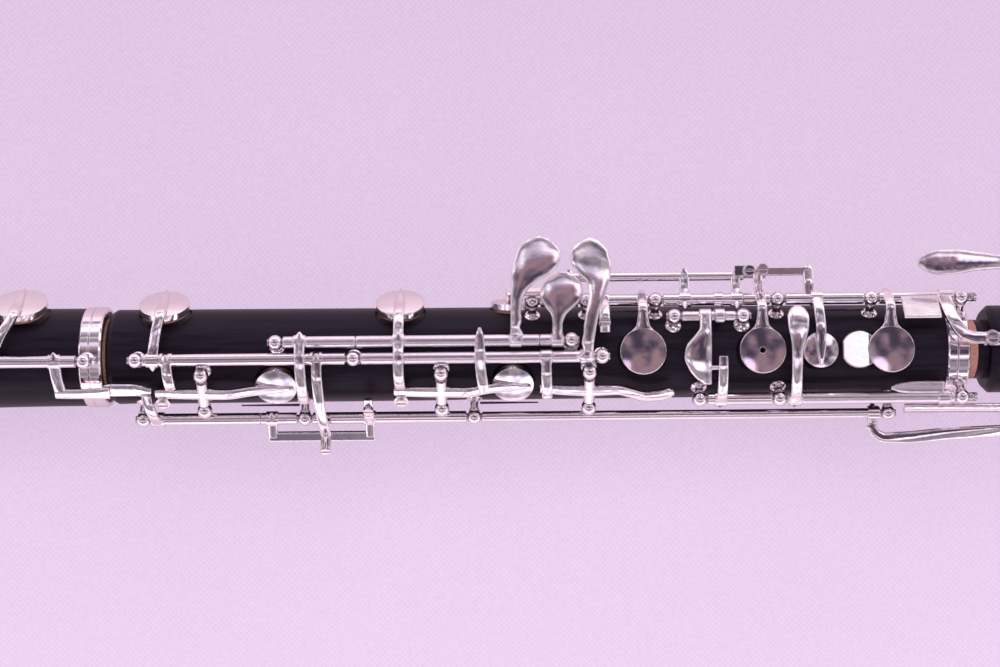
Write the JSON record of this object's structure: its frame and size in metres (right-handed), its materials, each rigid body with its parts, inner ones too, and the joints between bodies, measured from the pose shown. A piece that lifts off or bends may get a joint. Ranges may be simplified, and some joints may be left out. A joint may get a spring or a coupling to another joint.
{
  "type": "oboe",
  "caption": "Oboe with plate keywork: three dark wooden joints, silver-plated keys turning on rods between ball posts, flared bell, reed well.",
  "frame": {"origin": "centre of the bore at the plane of the bell's mouth", "axes": "+X along the bore from the bell to the reed well, +Z out through the finger plates, +Y towards the right little finger's touches"},
  "size_m": [0.5922, 0.058, 0.0465],
  "materials": {
    "blackwood": "polished blackwood with a soft oil sheen",
    "silver_plate": "polished silver plate",
    "blued_steel": "blued steel needle springs",
    "rod_steel": "ground steel rods and screws",
    "cork": "natural cork",
    "pad_skin": "cream skin pads over felt",
    "pearl": "pearly white slip"
  },
  "bodies": {
    "oboe_body": {"bell_body": "blackwood", "lower_joint_body": "blackwood", "upper_joint_body": "blackwood", "bell_socket_ring": "silver_plate", "lower_socket_ring": "silver_plate", "crown_ring": "silver_plate", "reed_well_liner": "silver_plate", "lower_tenon_cork": "cork", "upper_tenon_cork": "cork", "bell_posts": "silver_plate", "lower_joint_posts": "silver_plate", "upper_joint_posts": "silver_plate", "hinge_rods": "rod_steel", "needle_springs": "blued_steel", "thumb_rest": "silver_plate", "thumb_rest_screws": "rod_steel"},
    "bell_key": {"bell_key": "silver_plate", "bell_key_pad": "pad_skin"},
    "low_b_key": {"low_b_key": "silver_plate", "low_b_pad": "pad_skin"},
    "low_c_key": {"low_c_key": "silver_plate", "low_c_pad": "pad_skin"},
    "c_sharp_touch": {"c_sharp_touch": "silver_plate", "c_sharp_rod": "rod_steel"},
    "e_flat_touch": {"e_flat_touch": "silver_plate"},
    "c_sharp_lever": {"c_sharp_lever": "silver_plate", "c_sharp_pad": "pad_skin"},
    "e_flat_lever": {"e_flat_lever": "silver_plate", "e_flat_pad": "pad_skin"},
    "trill_lever": {"trill_lever": "silver_plate"},
    "b_flat_link": {"b_flat_link": "silver_plate", "b_flat_rod": "rod_steel"},
    "b_link": {"b_link": "silver_plate"},
    "f_key": {"f_key": "silver_plate", "f_pad": "pad_skin"},
    "f_touch": {"f_touch": "silver_plate"},
    "f_link": {"f_link": "silver_plate"},
    "d_plate_key": {"d_plate_key": "silver_plate", "d_pad": "pad_skin"},
    "e_plate_key": {"e_plate_key": "silver_plate", "e_pad": "pad_skin"},
    "e_vent_key": {"e_vent_key": "silver_plate", "e_vent_pad": "pad_skin"},
    "f_sharp_plate_key": {"f_sharp_plate_key": "silver_plate", "f_sharp_pad": "pad_skin", "pearl_touch": "pearl"},
    "g_sharp_touch": {"g_sharp_touch": "silver_plate"},
    "c_vent_key": {"c_vent_key": "silver_plate"},
    "g_plate_key": {"g_plate_key": "silver_plate"},
    "a_plate_key": {"a_plate_key": "silver_plate"},
    "b_plate_key": {"b_plate_key": "silver_plate"},
    "g_sharp_key": {"g_sharp_key": "silver_plate"},
    "left_b_flat_lever": {"left_b_flat_lever": "silver_plate"},
    "left_e_flat_lever": {"left_e_flat_lever": "silver_plate"},
    "long_trill_key": {"long_trill_key": "silver_plate"},
    "side_octave_key": {"side_octave_key": "silver_plate"},
    "thumb_octave_key": {"thumb_octave_key": "silver_plate"}
  },
  "joints": [
    {"name": "bell_key_hinge", "type": "hinge", "parent": "oboe_body", "child": "bell_key", "pos_m": [0.1, -0.00088, 0.01678], "axis": [1, 0, 0], "range_deg": [-6, 0]},
    {"name": "low_b_hinge", "type": "hinge", "parent": "oboe_body", "child": "low_b_key", "pos_m": [0.16, -0.00075, 0.01658], "axis": [1, 0, 0], "range_deg": [-6, 0]},
    {"name": "low_c_hinge", "type": "hinge", "parent": "oboe_body", "child": "low_c_key", "pos_m": [0.205, 0.0034, 0.0163], "axis": [1, 0, 0], "range_deg": [-6, 0]},
    {"name": "c_sharp_touch_hinge", "type": "hinge", "parent": "oboe_body", "child": "c_sharp_touch", "pos_m": [0.2, 0.0034, 0.0163], "axis": [1, 0, 0], "range_deg": [-5, 0]},
    {"name": "e_flat_touch_hinge", "type": "hinge", "parent": "oboe_body", "child": "e_flat_touch", "pos_m": [0.215, -0.00075, 0.01658], "axis": [1, 0, 0], "range_deg": [-5, 0]},
    {"name": "c_sharp_lever_hinge", "type": "hinge", "parent": "oboe_body", "child": "c_sharp_lever", "pos_m": [0.146, -0.00929, 0.01278], "axis": [0, 0.809, 0.5878], "range_deg": [-5, 0]},
    {"name": "e_flat_lever_hinge", "type": "hinge", "parent": "oboe_body", "child": "e_flat_lever", "pos_m": [0.2066, -0.00929, 0.01278], "axis": [0, 0.809, 0.5878], "range_deg": [-5, 0]},
    {"name": "trill_lever_hinge", "type": "hinge", "parent": "oboe_body", "child": "trill_lever", "pos_m": [0.2441, -0.00929, 0.01278], "axis": [0, 0.809, 0.5878], "range_deg": [0, 4]},
    {"name": "b_flat_link_hinge", "type": "hinge", "parent": "oboe_body", "child": "b_flat_link", "pos_m": [0.23, -0.01617, 0.00557], "axis": [1, 0, 0], "range_deg": [0, 4.2]},
    {"name": "b_link_hinge", "type": "hinge", "parent": "oboe_body", "child": "b_link", "pos_m": [0.19, -0.01617, 0.00557], "axis": [1, 0, 0], "range_deg": [-20, 0]},
    {"name": "f_key_hinge", "type": "hinge", "parent": "oboe_body", "child": "f_key", "pos_m": [0.26, 0.01339, 0.00998], "axis": [1, 0, 0], "range_deg": [0, 5]},
    {"name": "f_touch_hinge", "type": "hinge", "parent": "oboe_body", "child": "f_touch", "pos_m": [0.275, 0.00911, 0.0134], "axis": [1, 0, 0], "range_deg": [0, 5]},
    {"name": "f_link_hinge", "type": "hinge", "parent": "oboe_body", "child": "f_link", "pos_m": [0.282, -0.01198, 0.0106], "axis": [1, 0, 0], "range_deg": [-8, 0]},
    {"name": "d_plate_hinge", "type": "hinge", "parent": "oboe_body", "child": "d_plate_key", "pos_m": [0.255, 0.01339, 0.00998], "axis": [1, 0, 0], "range_deg": [0, 5]},
    {"name": "e_plate_hinge", "type": "hinge", "parent": "oboe_body", "child": "e_plate_key", "pos_m": [0.288, 0.01339, 0.00998], "axis": [1, 0, 0], "range_deg": [0, 5]},
    {"name": "e_vent_hinge", "type": "hinge", "parent": "oboe_body", "child": "e_vent_key", "pos_m": [0.302, 0.01339, 0.00998], "axis": [1, 0, 0], "range_deg": [0, 5]},
    {"name": "f_sharp_plate_hinge", "type": "hinge", "parent": "oboe_body", "child": "f_sharp_plate_key", "pos_m": [0.328, 0.01339, 0.00998], "axis": [1, 0, 0], "range_deg": [0, 5]},
    {"name": "g_sharp_touch_hinge", "type": "hinge", "parent": "oboe_body", "child": "g_sharp_touch", "pos_m": [0.315, -0.01198, 0.0106], "axis": [1, 0, 0], "range_deg": [-4, 0]},
    {"name": "c_vent_hinge", "type": "hinge", "parent": "oboe_body", "child": "c_vent_key", "pos_m": [0.3672, 0.01246, 0.00939], "axis": [1, 0, 0], "range_deg": [0, 5]},
    {"name": "g_plate_hinge", "type": "hinge", "parent": "oboe_body", "child": "g_plate_key", "pos_m": [0.3922, 0.01246, 0.00939], "axis": [1, 0, 0], "range_deg": [0, 5]},
    {"name": "a_plate_hinge", "type": "hinge", "parent": "oboe_body", "child": "a_plate_key", "pos_m": [0.4252, 0.01246, 0.00939], "axis": [1, 0, 0], "range_deg": [0, 5]},
    {"name": "b_plate_hinge", "type": "hinge", "parent": "oboe_body", "child": "b_plate_key", "pos_m": [0.4672, 0.01246, 0.00939], "axis": [1, 0, 0], "range_deg": [0, 5]},
    {"name": "g_sharp_key_hinge", "type": "hinge", "parent": "oboe_body", "child": "g_sharp_key", "pos_m": [0.3872, -0.0118, 0.0099], "axis": [1, 0, 0], "range_deg": [0, 5]},
    {"name": "left_b_flat_hinge", "type": "hinge", "parent": "oboe_body", "child": "left_b_flat_lever", "pos_m": [0.3752, -0.0159, 0.00708], "axis": [1, 0, 0], "range_deg": [0, 6]},
    {"name": "left_e_flat_hinge", "type": "hinge", "parent": "oboe_body", "child": "left_e_flat_lever", "pos_m": [0.4052, -0.0159, 0.00708], "axis": [1, 0, 0], "range_deg": [0, 4]},
    {"name": "long_trill_hinge", "type": "hinge", "parent": "oboe_body", "child": "long_trill_key", "pos_m": [0.4072, 0.01615, 0.00285], "axis": [1, 0, 0], "range_deg": [-5, 0]},
    {"name": "side_octave_hinge", "type": "hinge", "parent": "oboe_body", "child": "side_octave_key", "pos_m": [0.5122, 0.01418, -0.0025], "axis": [1, 0, 0], "range_deg": [-6, 0]},
    {"name": "thumb_octave_hinge", "type": "hinge", "parent": "oboe_body", "child": "thumb_octave_key", "pos_m": [0.4852, 0, -0.0142], "axis": [0, -1, 0], "range_deg": [-4, 0]}
  ],
  "couplings": [
    {"joint": "b_flat_link_hinge", "follows": "left_b_flat_hinge", "ratio": 0.7},
    {"joint": "bell_key_hinge", "follows": "left_b_flat_hinge", "ratio": -1},
    {"joint": "low_b_hinge", "follows": "b_link_hinge", "ratio": 0.3},
    {"joint": "c_sharp_lever_hinge", "follows": "c_sharp_touch_hinge", "ratio": 1},
    {"joint": "e_flat_lever_hinge", "follows": "e_flat_touch_hinge", "ratio": 1},
    {"joint": "trill_lever_hinge", "follows": "e_flat_touch_hinge", "ratio": -0.8},
    {"joint": "f_key_hinge", "follows": "f_touch_hinge", "ratio": 1},
    {"joint": "f_link_hinge", "follows": "f_touch_hinge", "ratio": -1.6},
    {"joint": "c_vent_hinge", "follows": "f_sharp_plate_hinge", "ratio": 1},
    {"joint": "e_vent_hinge", "follows": "e_plate_hinge", "ratio": 1}
  ]
}
